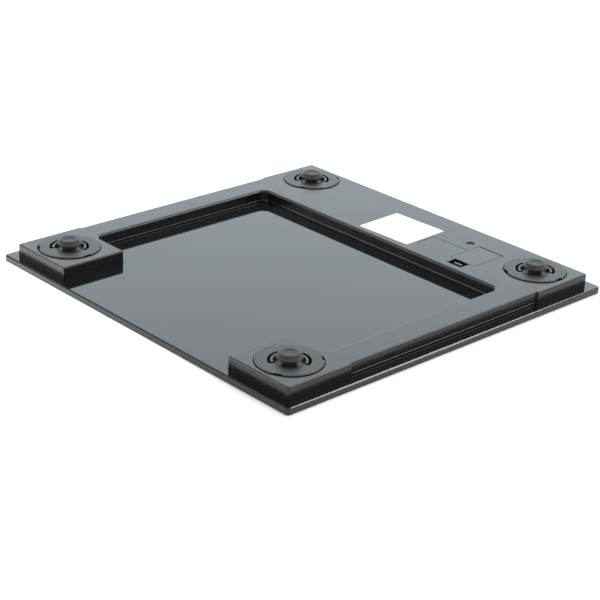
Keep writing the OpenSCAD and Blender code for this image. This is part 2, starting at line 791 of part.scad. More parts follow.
// From a heel cell up its rail, then along the bar's inner wall and onto the board; s is the side along X
function heel_route(s) =
    let (x_pad = s > 0 ? board_x1 - pad_from_edge : board_x0 + pad_from_edge,
         y_bar = open_y1 + wall + 1.8)
    [[s * foot_x, 8 - foot_y, z_cell - 0.85], [s * foot_x, 15 - foot_y, z_wire],
     [s * foot_x, seat_w / 2 + 3 - foot_y, z_wire],
     [s * rail_mid, open_y0 + 4, z_wire], [s * rail_mid, y_bar, z_wire],
     [x_pad, y_bar, z_wire], [x_pad, board_y0 - 4, z_wire],
     [x_pad, board_y0 - 1.2, z_parts + 0.6], [x_pad, board_y0 + pad_in, z_parts + 0.6]];

// From a toe cell along the bar and onto the board; s is the side along X
function toe_route(s) =
    let (edge = s > 0 ? board_x1 : board_x0,
         y_bar = s > 0 ? tray_y1 + 2.4 : foot_y)
    [[s * (foot_x - 8), foot_y, z_cell - 0.85], [s * (foot_x - 15), foot_y, z_wire],
     [s * (foot_x - seat_w / 2 - 3), foot_y, z_wire],
     [s * (foot_x - collar_r - 0.5), y_bar, z_wire], [edge + s * 4, y_bar, z_wire],
     [edge + s * 1.2, y_bar, z_parts + 0.6], [edge - s * pad_in, y_bar, z_parts + 0.6]];

// ---------- the assembly ----------

glass_platform();
back_print();
bond_tape();
base_housing();
rating_label();
battery_door();
door_latch();
battery_tray();
coin_cell();
contact_negative();
contact_positive();
unit_button();
switch_plunger();
switch_body();
display_panel();
display_holder();
connector_strip();
main_board();
controller_blob();
board_parts();
board_screws();
battery_wires();
cell_seat(-1, 1);  // cell_seat_toe_left
cell_seat(1, 1);  // cell_seat_toe_right
cell_seat(-1, -1);  // cell_seat_heel_left
cell_seat(1, -1);  // cell_seat_heel_right
load_cell(-1, 1);  // load_cell_toe_left
load_cell(1, 1);  // load_cell_toe_right
load_cell(-1, -1);  // load_cell_heel_left
load_cell(1, -1);  // load_cell_heel_right
strain_gauge(-1, 1);  // strain_gauge_toe_left
strain_gauge(1, 1);  // strain_gauge_toe_right
strain_gauge(-1, -1);  // strain_gauge_heel_left
strain_gauge(1, -1);  // strain_gauge_heel_right
foot_disc(-1, 1);  // foot_disc_toe_left
foot_disc(1, 1);  // foot_disc_toe_right
foot_disc(-1, -1);  // foot_disc_heel_left
foot_disc(1, -1);  // foot_disc_heel_right
rubber_foot(-1, 1);  // rubber_foot_toe_left
rubber_foot(1, 1);  // rubber_foot_toe_right
rubber_foot(-1, -1);  // rubber_foot_heel_left
rubber_foot(1, -1);  // rubber_foot_heel_right
wire_set(toe_route(-1));  // wires_toe_left
wire_set(toe_route(1));  // wires_toe_right
wire_set(heel_route(-1));  // wires_heel_left
wire_set(heel_route(1));  // wires_heel_right
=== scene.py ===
"""Digital bathroom scale, lying upside down on its glass platform, with its four feet up.

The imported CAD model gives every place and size. The pieces made here stand for the CAD nodes that show,
with rounded edges and finer detail, and the nodes that stay get their own materials.
"""
import math

import bmesh
import bpy
from mathutils import Matrix, Vector


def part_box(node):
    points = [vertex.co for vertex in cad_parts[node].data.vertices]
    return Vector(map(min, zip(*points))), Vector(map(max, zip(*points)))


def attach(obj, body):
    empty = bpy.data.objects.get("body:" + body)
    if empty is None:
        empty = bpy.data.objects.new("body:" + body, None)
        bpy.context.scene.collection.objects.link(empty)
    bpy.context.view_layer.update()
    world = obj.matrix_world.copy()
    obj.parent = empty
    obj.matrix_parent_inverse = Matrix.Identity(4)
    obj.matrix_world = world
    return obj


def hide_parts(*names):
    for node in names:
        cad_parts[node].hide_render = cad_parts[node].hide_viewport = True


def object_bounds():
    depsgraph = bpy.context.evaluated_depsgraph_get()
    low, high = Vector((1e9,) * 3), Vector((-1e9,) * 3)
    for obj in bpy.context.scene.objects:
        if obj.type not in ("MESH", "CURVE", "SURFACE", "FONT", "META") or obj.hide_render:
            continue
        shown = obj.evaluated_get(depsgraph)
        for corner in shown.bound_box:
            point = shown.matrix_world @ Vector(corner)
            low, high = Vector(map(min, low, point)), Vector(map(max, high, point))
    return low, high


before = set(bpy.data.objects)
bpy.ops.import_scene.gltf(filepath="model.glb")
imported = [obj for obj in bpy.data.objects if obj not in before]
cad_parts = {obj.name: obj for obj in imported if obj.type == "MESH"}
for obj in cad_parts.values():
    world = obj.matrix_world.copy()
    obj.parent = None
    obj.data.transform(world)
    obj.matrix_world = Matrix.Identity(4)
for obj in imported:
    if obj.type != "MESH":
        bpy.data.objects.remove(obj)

cad_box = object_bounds()

MM = 0.001
# how far a cutter runs on past the face that it leaves by
CUT_PAST = 1 * MM
CORNERS = {"toe_left": (-1, 1), "toe_right": (1, 1), "heel_left": (-1, -1), "heel_right": (1, -1)}

# ---------- sizes, from the frame and as in the CAD ----------

glass_lo, glass_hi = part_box("glass_platform")
house_lo, house_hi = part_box("base_housing")
door_lo, door_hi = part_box("battery_door")
latch_lo, latch_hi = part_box("door_latch")
button_lo, button_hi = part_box("unit_button")

GLASS_CORNER_R = 3 * MM
GLASS_ARRIS = 0.7 * MM

RAIL_W = 21.9 * MM
BAR_D = 70.7 * MM
BLOCK_W = 55.4 * MM
BLOCK_D = 51.8 * MM
PROUD_D = 53.6 * MM
RAIL_RECESS = 1.5 * MM
WALL = 2 * MM
FLANGE = 0.5 * MM
# section of the flange, as shares of its width: how far out, and how far up
FLANGE_CURVE = ((1, 0), (1, 0.72), (0.92, 0.92), (0.72, 1), (0.45, 1.04), (0.2, 1.25), (0.05, 1.7), (0, 2.3))
OPENING_R = 6 * MM
OUTER_R = 2 * MM
BLOCK_EDGE_R = 1 * MM
STEP_R = 0.4 * MM
# rounds along the top edges of the housing's inner and outer walls, in plan, and their height
INNER_ROUND = 2.0 * MM
OUTER_ROUND = 1.1 * MM
ROUND_H = 1.5 * MM

HX, HY = house_hi.x, house_hi.y
Z_BASE, Z_TOP = house_lo.z, house_hi.z
Z_SKIN = Z_TOP - WALL
OPEN_X = HX - RAIL_W
OPEN_Y0 = -HY + BLOCK_D
OPEN_Y1 = HY - BAR_D
GATE_X = HX - BLOCK_W

POCKET_GAP = 0.3 * MM
COLLAR_T = 1.6 * MM
COLLAR_Z0 = 9.85 * MM
NOTCH_W = 6 * MM
NOTCH_DEPTH = 1.3 * MM
NOTCH_FLOOR = 4 * MM
SKIRT_T = 1.5 * MM
DISC_T = 2.1 * MM
BOSS_R = 5.5 * MM
WELL_R = 10.3 * MM
WELL_DEPTH = 2.6 * MM
CUP_WALL = 1.4 * MM
CUP_FLOOR = 1.2 * MM
HOOK_DEPTH = 1.2 * MM
CAP_RISE = 2 * MM
CAP_BAND = 0.6 * MM
CAP_TAPER = 1.9 * MM
SOLE_W = 2.2 * MM
DISH_DEPTH = 0.5 * MM
NECK_R = 5 * MM
ARC_R = 13 * MM
ARC_W = 1.8 * MM
ARC_DEG = 76
ARC_MIDDLES = (59, 213)

DOOR_GAP = 0.25 * MM
DOOR_T = 1.6 * MM
BARREL_R = 1.3 * MM
PIN_R = 0.7 * MM
PIN_LEN = 1.5 * MM
PIN_GAP = 0.08 * MM
BORE_LEN = 2 * MM
SEAT_GAP = 0.05 * MM
SEAT_CORNER_R = 0.6 * MM
SLOT_W = 13 * MM
SLOT_L = 9 * MM
SLOT_CORNER_R = 0.8 * MM
SLOT_UNDER_DOOR = 1 * MM
DOOR_X0, DOOR_X1 = door_lo.x + PIN_LEN, door_hi.x - PIN_LEN
DOOR_X = (DOOR_X0 + DOOR_X1) / 2
DOOR_Y1 = door_hi.y
DOOR_L = 31.4 * MM
DOOR_Y0 = DOOR_Y1 - DOOR_L
HINGE_Y = DOOR_Y1 - BARREL_R
HINGE_Z = Z_TOP - BARREL_R
SLOT_Y0 = DOOR_Y0 - DOOR_GAP - SLOT_L

LABEL_SIDE = 25.8 * MM

BUTTON_R = 2.9 * MM
BUTTON_GAP = 0.2 * MM
BUTTON_X = (button_lo.x + button_hi.x) / 2
BUTTON_Y = (button_lo.y + button_hi.y) / 2


def notch_turn(side_x, side_y):
    """Turn of a foot disc's rim notches, in degrees."""
    return 58 if side_x != side_y else 0


# ---------- mesh helpers ----------

def new_object(name, bm):
    """Object named name from a bmesh, with its normals outward."""
    bmesh.ops.recalc_face_normals(bm, faces=bm.faces)
    mesh = bpy.data.meshes.new(name)
    bm.to_mesh(mesh)
    bm.free()
    obj = bpy.data.objects.new(name, mesh)
    bpy.context.scene.collection.objects.link(obj)
    return obj


def corner_arc(before, corner, after, radius, steps):
    """Points of a quarter arc at a right-angled corner, from the edge before it to the edge after it."""
    d_in = (corner - before).normalized()
    d_out = (after - corner).normalized()
    centre = corner - d_in * radius + d_out * radius
    angles = [math.pi / 2 * i / steps for i in range(steps + 1)]
    return [centre + radius * (d_in * math.sin(a) - d_out * math.cos(a)) for a in angles]


def rounded(corners, radii, steps=6):
    """Closed outline through right-angled corners, each rounded by its radius."""
    points = []
    for i, corner in enumerate(corners):
        before, after = corners[i - 1], corners[(i + 1) % len(corners)]
        points += corner_arc(before, corner, after, radii[i], steps)
    return points


def rounded_rect(x0, y0, x1, y1, radius, steps=6):
    """Outline of a rectangle with round corners."""
    corners = [Vector(p) for p in ((x0, y0), (x1, y0), (x1, y1), (x0, y1))]
    return rounded(corners, [radius] * 4, steps)


def circle(x, y, radius, steps=96):
    """Outline of a circle."""
    turn = 2 * math.pi / steps
    return [Vector((x + radius * math.cos(turn * i), y + radius * math.sin(turn * i))) for i in range(steps)]


def loft(rings):
    """Closed solid through rings of equally many points, given as (outline, z)."""
    bm = bmesh.new()
    rows = [[bm.verts.new((p.x, p.y, z)) for p in outline] for outline, z in rings]
    bridge(bm, rows)
    return bm


def bridge(bm, rows):
    """Quads between the rows of vertices, and a face over the first and the last."""
    count = len(rows[0])
    for low, high in zip(rows, rows[1:]):
        for i in range(count):
            j = (i + 1) % count
            bm.faces.new((low[i], low[j], high[j], high[i]))
    bm.faces.new(rows[0])
    bm.faces.new(rows[-1])


def lathe(x, y, profile, steps=96):
    """Closed solid of revolution about a vertical axis; profile holds (radius, z)."""
    return loft([(circle(x, y, radius, steps), z) for radius, z in profile])


def rod(x0, x1, y, z, radius, steps=32):
    """Closed cylinder along X."""
    bm = bmesh.new()
    rows = []
    for x in (x0, x1):
        ring = circle(y, z, radius, steps)
        rows.append([bm.verts.new((x, p.x, p.y)) for p in ring])
    bridge(bm, rows)
    return bm


def block(x0, y0, z0, x1, y1, z1):
    """Closed box between two corners."""
    return loft([(rounded_rect(x0, y0, x1, y1, 0.01 * MM, 1), z) for z in (z0, z1)])


def extrude_x(x0, x1, outline):
    """Closed prism along X; outline holds (y, z)."""
    bm = bmesh.new()
    rows = [[bm.verts.new((x, y, z)) for y, z in outline] for x in (x0, x1)]
    bridge(bm, rows)
    return bm


def join(*parts):
    """One bmesh that holds all the parts."""
    whole = bmesh.new()
    for part in parts:
        mesh = bpy.data.meshes.new("part")
        part.to_mesh(mesh)
        part.free()
        whole.from_mesh(mesh)
        bpy.data.meshes.remove(mesh)
    return whole


def soften(bm, width, segments=2, sharp_deg=35):
    """Rounds every edge sharper than sharp_deg."""
    bmesh.ops.remove_doubles(bm, verts=bm.verts, dist=0.001 * MM)
    bmesh.ops.recalc_face_normals(bm, faces=bm.faces)
    edges = [e for e in bm.edges if e.is_manifold and e.calc_face_angle() > math.radians(sharp_deg)]
    bmesh.ops.bevel(bm, geom=edges, offset=width, segments=segments, profile=0.5, affect="EDGES",
                    clamp_overlap=True)
    return bm


def apply_modifiers(obj):
    """Turns the object's modifiers into its mesh."""
    shaped = obj.evaluated_get(bpy.context.evaluated_depsgraph_get())
    mesh = bpy.data.meshes.new_from_object(shaped)
    obj.modifiers.clear()
    old = obj.data
    obj.data = mesh
    bpy.data.meshes.remove(old)


def combine(obj, bm, operation):
    """Adds a solid to the object, or takes it away: operation is UNION or DIFFERENCE."""
    tool = new_object("tool", bm)
    step = obj.modifiers.new("combine", "BOOLEAN")
    step.object = tool
    step.operation = operation
    step.solver = "EXACT"
    apply_modifiers(obj)
    bpy.data.objects.remove(tool)


def shade(obj, sharp_deg=38):
    """Smooth shading that keeps flat faces flat and sharp edges sharp."""
    mesh = obj.data
    mesh.shade_smooth()
    mesh.set_sharp_from_angle(angle=math.radians(sharp_deg))
    normals = obj.modifiers.new("normals", "WEIGHTED_NORMAL")
    normals.keep_sharp = True


def dress(obj, body, slot, material, *nodes):
    """Gives a finished piece its shading, its material, its body and the CAD nodes it stands for."""
    shade(obj)
    obj.data.materials.clear()
    obj.data.materials.append(material)
    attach(obj, body)
    if nodes:
        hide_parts(*nodes)
    return obj


def quarter(steps):
    """Angles from 0 to 90 degrees."""
    return [math.pi / 2 * i / steps for i in range(steps + 1)]


def flared(outline, z0, z_top, flare, steps=3):
    """Cutter whose mouth widens in a round lip at z_top; outline(grow) gives its plan, grown by grow.

    The cutter runs on past the face, by CUT_PAST."""
    rings = [(outline(0), z0)]
    for a in quarter(steps):
        rings.append((outline(flare * (1 - math.cos(a))), z_top - flare * (1 - math.sin(a))))
    rings.append((outline(flare), z_top + CUT_PAST))
    return loft(rings)


# ---------- materials ----------

def add_node(tree, kind, **settings):
    """New shader node, with its inputs or properties set by name."""
    node = tree.nodes.new(kind)
    for key, value in settings.items():
        if key in node.inputs:
            node.inputs[key].default_value = value
        else:
            setattr(node, key, value)
    return node


def noise(tree, scale, detail=3.0, stretch=(1, 1, 1)):
    """Noise in the piece's own coordinates, with scale in cells per metre."""
    place = add_node(tree, "ShaderNodeTexCoord")
    mapping = add_node(tree, "ShaderNodeMapping", Scale=stretch)
    pattern = add_node(tree, "ShaderNodeTexNoise", Scale=scale, Detail=detail)
    tree.links.new(place.outputs["Object"], mapping.inputs["Vector"])
    tree.links.new(mapping.outputs["Vector"], pattern.inputs["Vector"])
    return pattern.outputs["Fac"]


def ramp(tree, source, low, high, start=0.3, end=0.7):
    """Number that runs from low to high as source runs from start to end."""
    node = add_node(tree, "ShaderNodeMapRange")
    for key, value in (("From Min", start), ("From Max", end), ("To Min", low), ("To Max", high)):
        node.inputs[key].default_value = value
    tree.links.new(source, node.inputs["Value"])
    return node.outputs["Result"]


def mix_colours(tree, source, first, second):
    """Colour between first and second."""
    node = add_node(tree, "ShaderNodeMix", data_type="RGBA")
    for socket, value in zip([s for s in node.inputs if s.type == "RGBA"], (first, second)):
        socket.default_value = (*value, 1)
    tree.links.new(source, node.inputs["Factor"])
    return [s for s in node.outputs if s.type == "RGBA"][0]


def finish(name, first, second, rough, patch=60, grain=2500, bump=0.02, height=0.02,
           stretch=(1, 1, 1), **sockets):
    """Procedural finish: colour and roughness drift in patches, and a fine grain stands up as bump.

    patch and grain are in cells per metre, height is in millimetres, and sockets are the shader's
    own constants."""
    material = bpy.data.materials.new(name)
    material.use_nodes = True
    tree = material.node_tree
    shader = tree.nodes["Principled BSDF"]
    drift = noise(tree, patch, stretch=stretch)
    tree.links.new(mix_colours(tree, drift, first, second), shader.inputs["Base Color"])
    tree.links.new(ramp(tree, noise(tree, patch * 2.3), *rough), shader.inputs["Roughness"])
    relief = add_node(tree, "ShaderNodeBump", Strength=bump, Distance=height * MM)
    tree.links.new(noise(tree, grain, 4.0, stretch), relief.inputs["Height"])
    tree.links.new(relief.outputs["Normal"], shader.inputs["Normal"])
    for key, value in sockets.items():
        shader.inputs[key.replace("_", " ")].default_value = value
    return material


def make_materials():
    """Every finish on the object, by name."""
    return {
        "housing": finish("housing_abs", (0.0045, 0.0048, 0.0055), (0.007, 0.0075, 0.0085), (0.20, 0.26),
                          patch=25, grain=900, bump=0.05, height=0.01, IOR=1.49),
        "door": finish("door_abs", (0.0045, 0.0048, 0.0055), (0.0075, 0.008, 0.009), (0.11, 0.18),
                       patch=40, grain=900, bump=0.05, height=0.01, IOR=1.49),
        "glass": finish("platform_glass", (0.004, 0.005, 0.005), (0.006, 0.008, 0.0075), (0.0, 0.02),
                        patch=12, grain=60, bump=0.01, height=0.01, IOR=1.52, Transmission_Weight=1.0),
        "print": finish("black_print", (0.0035, 0.0042, 0.0045), (0.005, 0.006, 0.0065), (0.03, 0.06),
                        patch=14, grain=40, bump=0.02, height=0.02, IOR=1.5),
        "tape": finish("bond_tape", (0.003, 0.003, 0.0035), (0.006, 0.006, 0.0065), (0.24, 0.32),
                       patch=200, grain=3000, bump=0.1, height=0.02),
        "label": finish("label_film", (0.86, 0.87, 0.88), (0.92, 0.925, 0.93), (0.32, 0.42),
                        patch=90, grain=4000, bump=0.08, height=0.01, IOR=1.45),
        "disc": finish("disc_plastic", (0.008, 0.0083, 0.009), (0.012, 0.0124, 0.013), (0.34, 0.42),
                       patch=120, grain=5200, bump=0.25, height=0.03, IOR=1.47),
        "rubber": finish("foot_rubber", (0.010, 0.010, 0.011), (0.016, 0.016, 0.017), (0.55, 0.72),
                         patch=260, grain=6500, bump=0.5, height=0.04, IOR=1.5, Sheen_Weight=0.15),
        "latch": finish("latch_plastic", (0.03, 0.031, 0.033), (0.045, 0.046, 0.048), (0.28, 0.36),
                        patch=200, grain=4000, bump=0.15, height=0.02),
        "button": finish("button_plastic", (0.01, 0.01, 0.011), (0.016, 0.016, 0.017), (0.3, 0.42),
                         patch=300, grain=5000, bump=0.2, height=0.02),
        "tray": finish("tray_plastic", (0.02, 0.02, 0.021), (0.032, 0.032, 0.034), (0.35, 0.5),
                       patch=120, grain=3500, bump=0.2, height=0.03),
        "steel": finish("cell_steel", (0.52, 0.53, 0.54), (0.62, 0.63, 0.64), (0.2, 0.34),
                        patch=180, grain=900, bump=0.1, height=0.01, stretch=(1, 14, 1), Metallic=1.0),
        "brass": finish("contact_brass", (0.62, 0.46, 0.2), (0.72, 0.55, 0.27), (0.22, 0.36),
                        patch=260, grain=1800, bump=0.12, height=0.01, stretch=(8, 1, 1), Metallic=1.0),
        "spring": finish("spring_steel", (0.4, 0.41, 0.43), (0.5, 0.51, 0.53), (0.24, 0.4),
                         patch=160, grain=1200, bump=0.12, height=0.01, stretch=(1, 8, 1), Metallic=1.0),
        "screw": finish("screw_steel", (0.5, 0.51, 0.53), (0.6, 0.61, 0.62), (0.18, 0.3),
                        patch=400, grain=2500, bump=0.12, height=0.01, Metallic=1.0),
        "switch": finish("switch_metal", (0.56, 0.57, 0.58), (0.66, 0.67, 0.68), (0.26, 0.38),
                         patch=500, grain=3000, bump=0.1, height=0.01, Metallic=1.0),
        "display": finish("display_glass", (0.22, 0.26, 0.2), (0.26, 0.3, 0.235), (0.03, 0.07),
                          patch=60, grain=300, bump=0.02, height=0.01, IOR=1.52),
        "white": finish("white_plastic", (0.68, 0.68, 0.65), (0.76, 0.76, 0.73), (0.38, 0.5),
                        patch=90, grain=3000, bump=0.15, height=0.02),
        "connector": finish("connector_rubber", (0.06, 0.062, 0.068), (0.2, 0.1, 0.06), (0.5, 0.65),
                            patch=40, grain=2500, bump=0.3, height=0.05, stretch=(60, 0.2, 0.2)),
        "board": finish("board_laminate", (0.012, 0.11, 0.045), (0.02, 0.16, 0.07), (0.24, 0.36),
                        patch=700, grain=5000, bump=0.3, height=0.03, stretch=(1, 0.25, 1), Coat_Weight=0.3),
        "epoxy": finish("epoxy", (0.006, 0.006, 0.006), (0.012, 0.012, 0.012), (0.16, 0.26),
                        patch=300, grain=900, bump=0.2, height=0.05),
        "part": finish("board_part", (0.3, 0.2, 0.11), (0.42, 0.3, 0.17), (0.35, 0.5),
                       patch=800, grain=4000, bump=0.15, height=0.02),
        "wire_signal": finish("wire_sheath", (0.42, 0.03, 0.02), (0.5, 0.045, 0.03), (0.32, 0.45),
                              patch=200, grain=2500, bump=0.15, height=0.02),
        "gauge": finish("gauge_film", (0.62, 0.36, 0.07), (0.76, 0.46, 0.1), (0.25, 0.4),
                        patch=900, grain=3000, bump=0.2, height=0.02, stretch=(6, 1, 1)),
    }


# ---------- glass platform ----------

def glass_outline(grow):
    """Plan of the glass, grown by grow."""
    return rounded_rect(glass_lo.x - grow, glass_lo.y - grow, glass_hi.x + grow, glass_hi.y + grow,
                        GLASS_CORNER_R + grow, 12)


def make_glass(material):
    """Glass plate with ground arrises, each with a narrow round where it meets the faces."""
    soft = 0.12 * MM
    arris = [(-GLASS_ARRIS - soft, 0), (-GLASS_ARRIS, 0.25 * soft),
             (-0.25 * soft, GLASS_ARRIS), (0, GLASS_ARRIS + soft)]
    rings = [(glass_outline(grow), glass_lo.z + rise) for grow, rise in arris]
    rings += [(glass_outline(grow), glass_hi.z - rise) for grow, rise in reversed(arris)]
    plate = new_object("glass_plate", loft(rings))
    return dress(plate, "platform", "platform_glass", material, "glass_platform")


# ---------- housing ----------

def housing_outline(block_out=0.0, rail_out=0.0, inner_out=0.0, gate_out=0.0):
    """Plan of the U-shaped housing, with each family of walls moved outward, away from the plastic.

    Corners run counter-clockwise from the left heel block. Each row holds x, y, radius and the shift of
    the edge that follows the corner."""
    rail_x = HX - RAIL_RECESS
    step_y = HY - PROUD_D
    half = [
        (GATE_X, OPEN_Y0, BLOCK_EDGE_R, gate_out),
        (GATE_X, -HY, BLOCK_EDGE_R, block_out),
        (HX, -HY, OUTER_R, block_out),
        (HX, -step_y, STEP_R, block_out),
        (rail_x, -step_y, STEP_R, rail_out),
        (rail_x, step_y, STEP_R, block_out),
        (HX, step_y, STEP_R, block_out),
        (HX, HY, OUTER_R, block_out),
    ]
    # the left half mirrors the right one, and runs the other way round
    mirrored = []
    for i in range(len(half) - 1, -1, -1):
        x, y, radius, _ = half[i]
        edge = half[i - 1][3] if i else gate_out
        mirrored.append((-x, y, radius, edge))
    inner = [
        (-OPEN_X, OPEN_Y0, OPENING_R, inner_out),
        (-OPEN_X, OPEN_Y1, OPENING_R, inner_out),
        (OPEN_X, OPEN_Y1, OPENING_R, inner_out),
        (OPEN_X, OPEN_Y0, OPENING_R, gate_out),
    ]
    rows = half + mirrored + inner
    return moved_outline(rows)


def moved_outline(rows):
    """Outline through right-angled corners, with every edge moved outward by its own shift."""
    count = len(rows)
    points = [Vector(row[:2]) for row in rows]
    corners, radii = [], []
    for i, (x, y, radius, shift) in enumerate(rows):
        d_in = (points[i] - points[i - 1]).normalized()
        d_out = (points[(i + 1) % count] - points[i]).normalized()
        shift_in = rows[i - 1][3]
        n_in, n_out = Vector((d_in.y, -d_in.x)), Vector((d_out.y, -d_out.x))
        corners.append(points[i] + n_in * shift_in + n_out * shift)
        convex = d_in.cross(d_out) > 0
        mean = (shift_in + shift) / 2
        radii.append(max(radius + (mean if convex else -mean), 0.03 * MM))
    return rounded(corners, radii, 7)


def make_housing(material):
    """Shell with filleted top edges, foot flanges, foot pockets, battery opening, finger slot and seams."""
    walled = housing_outline(-WALL, -WALL, -WALL, -WALL)
    rings = [(walled, Z_SKIN), (walled, Z_BASE)]
    # flange at the foot, with a round lip and a cove up to the wall
    for spread, height in FLANGE_CURVE:
        grow = FLANGE * spread
        rings.append((housing_outline(0, grow, grow, 0), Z_BASE + FLANGE * height))
    for a in quarter(6):
        outer_in = OUTER_ROUND * (1 - math.cos(a))
        inner_in = INNER_ROUND * (1 - math.cos(a))
        plan = housing_outline(-outer_in, -outer_in, -inner_in, -outer_in)
        rings.append((plan, Z_TOP - ROUND_H * (1 - math.sin(a))))
    obj = new_object("housing_shell", loft(rings))
    add_collars(obj)
    add_door_ears(obj)
    cut_pockets(obj)
    cut_battery_opening(obj)
    cut_button_hole(obj)
    cut_seams(obj)
    return dress(obj, "platform", "housing_abs", material, "base_housing")


def foot_places():
    """Name, sides, axis and radius of each foot disc."""
    for name, (side_x, side_y) in CORNERS.items():
        lo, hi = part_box("foot_disc_" + name)
        yield name, side_x, side_y, (lo.x + hi.x) / 2, (lo.y + hi.y) / 2, (hi.x - lo.x) / 2


def add_collars(obj):
    """Collars under the skin that the foot discs slide in."""
    into_skin = 0.3 * MM
    for _, _, _, x, y, radius in foot_places():
        outer = radius + POCKET_GAP + COLLAR_T
        combine(obj, lathe(x, y, [(outer, COLLAR_Z0), (outer, Z_SKIN + into_skin)]), "UNION")


def add_door_ears(obj):
    """Ears that hold the door's pins."""
    ear_t = 2 * MM
    ear_half = 2.2 * MM
    into_skin = 0.2 * MM
    for side in (-1, 1):
        x0 = DOOR_X1 + DOOR_GAP if side > 0 else DOOR_X0 - DOOR_GAP - ear_t
        ear = block(x0, HINGE_Y - ear_half, HINGE_Z - ear_half,
                    x0 + ear_t, HINGE_Y + ear_half, Z_SKIN + into_skin)
        combine(obj, ear, "UNION")


def cut_pockets(obj):
    """Round pockets for the foot discs, with a soft lip."""
    lip = 0.35 * MM
    below = COLLAR_Z0 - 0.5 * MM
    for _, _, _, x, y, radius in foot_places():
        pocket = flared(lambda grow: circle(x, y, radius + POCKET_GAP + grow), below, Z_TOP, lip)
        combine(obj, pocket, "DIFFERENCE")


def cut_battery_opening(obj):
    """Seat for the battery door, the hole under it, the finger slot and the bores for the pins."""
    x0, x1 = DOOR_X0 - DOOR_GAP, DOOR_X1 + DOOR_GAP
    y0, y1 = DOOR_Y0 - DOOR_GAP, DOOR_Y1 + DOOR_GAP
    seat_z = Z_TOP - DOOR_T - SEAT_GAP
    seat = flared(lambda grow: rounded_rect(x0 - grow, y0 - grow, x1 + grow, y1 + grow, SEAT_CORNER_R + grow),
                  seat_z, Z_TOP, 0.18 * MM)
    combine(obj, seat, "DIFFERENCE")
    cell_half = 10.2 * MM
    cell_hole = block(DOOR_X - cell_half, y0, Z_SKIN - CUT_PAST, DOOR_X + cell_half, y1, Z_TOP)
    combine(obj, cell_hole, "DIFFERENCE")
    swing = 4 * MM
    swing_depth = 6 * MM
    combine(obj, block(x0, HINGE_Y - swing, Z_SKIN - swing_depth, x1, y1, Z_TOP), "DIFFERENCE")
    slot_x0, slot_x1 = DOOR_X - SLOT_W / 2, DOOR_X + SLOT_W / 2
    slot_y1 = DOOR_Y0 + SLOT_UNDER_DOOR
    slot = flared(
        lambda grow: rounded_rect(slot_x0 - grow, SLOT_Y0 - grow, slot_x1 + grow, slot_y1, SLOT_CORNER_R),
        Z_SKIN - CUT_PAST, Z_TOP, 0.3 * MM)
    combine(obj, slot, "DIFFERENCE")
    bore = rod(DOOR_X0 - BORE_LEN, DOOR_X1 + BORE_LEN, HINGE_Y, HINGE_Z, PIN_R + PIN_GAP)
    combine(obj, bore, "DIFFERENCE")


def cut_button_hole(obj):
    """Hole for the unit button, with a soft lip."""
    hole = flared(lambda grow: circle(BUTTON_X, BUTTON_Y, BUTTON_R + BUTTON_GAP + grow, 48),
                  Z_SKIN - CUT_PAST, Z_TOP, 0.4 * MM)
    combine(obj, hole, "DIFFERENCE")


def cut_seams(obj):
    """Shallow parting lines between the label and the battery door."""
    seam = 0.4 * MM
    depth = 0.3 * MM
    end_r = 0.1 * MM
    lip = 0.15 * MM
    left_x = LABEL_SIDE + 2.5 * MM
    seam_y = (DOOR_Y0 + DOOR_Y1) / 2 + 3 * MM
    lines = (
        (LABEL_SIDE + 0.8 * MM, seam_y, DOOR_X0 - 0.3 * MM, seam_y + seam),
        (left_x, DOOR_Y0, left_x + seam, seam_y),
    )
    for x0, y0, x1, y1 in lines:
        groove = flared(lambda grow: rounded_rect(x0 - grow, y0 - grow, x1 + grow, y1 + grow, end_r + grow),
                        Z_TOP - depth, Z_TOP, lip, 2)
        combine(obj, groove, "DIFFERENCE")


# ---------- feet ----------

def arc_outline(x, y, middle_deg, grow, steps=20):
    """Plan of a curved slot with round ends."""
    half = ARC_W / 2 + grow
    a0, a1 = (math.radians(middle_deg + s * ARC_DEG / 2) for s in (-1, 1))
    centre = Vector((x, y))

    def ray(a):
        return Vector((math.cos(a), math.sin(a)))

    sweep = [a0 + (a1 - a0) * i / steps for i in range(steps + 1)]
    points = [centre + ray(a) * (ARC_R + half) for a in sweep]
    end = centre + ray(a1) * ARC_R
    points += [end + ray(a1 + math.pi * i / 6) * half for i in range(1, 6)]
    points += [centre + ray(a) * (ARC_R - half) for a in reversed(sweep)]
    start = centre + ray(a0) * ARC_R
    points += [start + ray(a0 + math.pi + math.pi * i / 6) * half for i in range(1, 6)]
    return points


def turned_rect(x, y, deg, r0, r1, width, grow):
    """Plan of a radial rectangle from radius r0 to r1 at an angle about (x, y)."""
    turn = Matrix.Rotation(math.radians(deg), 2)
    outline = rounded_rect(r0 - grow, -width / 2 - grow, r1 + grow, width / 2 + grow, 0.2 * MM + grow, 3)
    return [Vector((x, y)) + turn @ p for p in outline]


